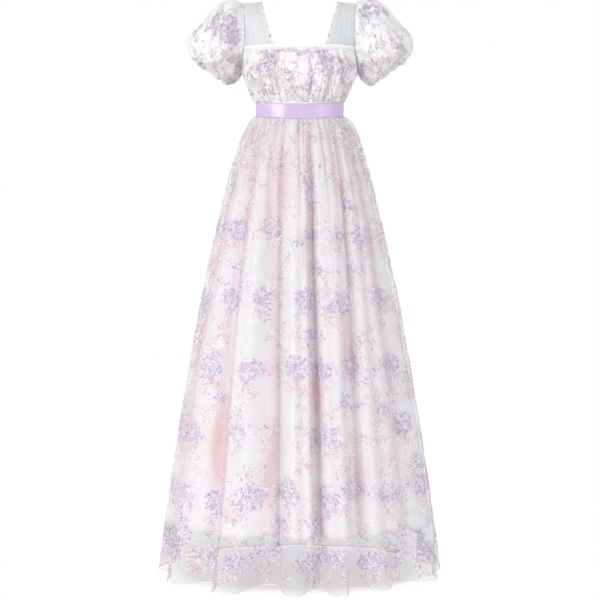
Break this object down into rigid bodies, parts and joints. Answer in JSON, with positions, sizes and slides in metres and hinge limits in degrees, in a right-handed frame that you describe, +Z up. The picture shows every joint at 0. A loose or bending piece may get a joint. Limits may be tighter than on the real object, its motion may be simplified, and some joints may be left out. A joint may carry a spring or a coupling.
{
  "type": "regency gown",
  "caption": "Full-length high-waisted gown with a square neck, short puffed sleeves, a ribbon belt and a gathered net skirt over a shorter lining, hollow as when worn.",
  "frame": {"origin": "midway between the tops of the two shoulder straps, where the shoulders carry the gown", "axes": "+Z up, the front faces -Y, and +X is on the right of someone who looks at the front"},
  "size_m": [0.702, 0.7133, 1.422],
  "materials": {
    "embroidered_net": "white net embroidered with lilac blossom and pink sprays",
    "white_lining": "smooth white lining with a soft sheen",
    "white_lace": "matt white scalloped lace",
    "lilac_satin": "lilac satin with a sharp sheen"
  },
  "bodies": {
    "root": {"bodice_front": "embroidered_net", "bodice_back": "embroidered_net", "sleeve_left": "embroidered_net", "sleeve_right": "embroidered_net", "skirt_front": "embroidered_net", "skirt_back": "embroidered_net", "underskirt_front": "white_lining", "underskirt_back": "white_lining", "strap_left": "white_lining", "strap_right": "white_lining", "neck_lace_front": "white_lace", "neck_lace_back": "white_lace", "strap_lace_left": "white_lace", "strap_lace_right": "white_lace", "ribbon_belt": "lilac_satin"}
  },
  "joints": []
}
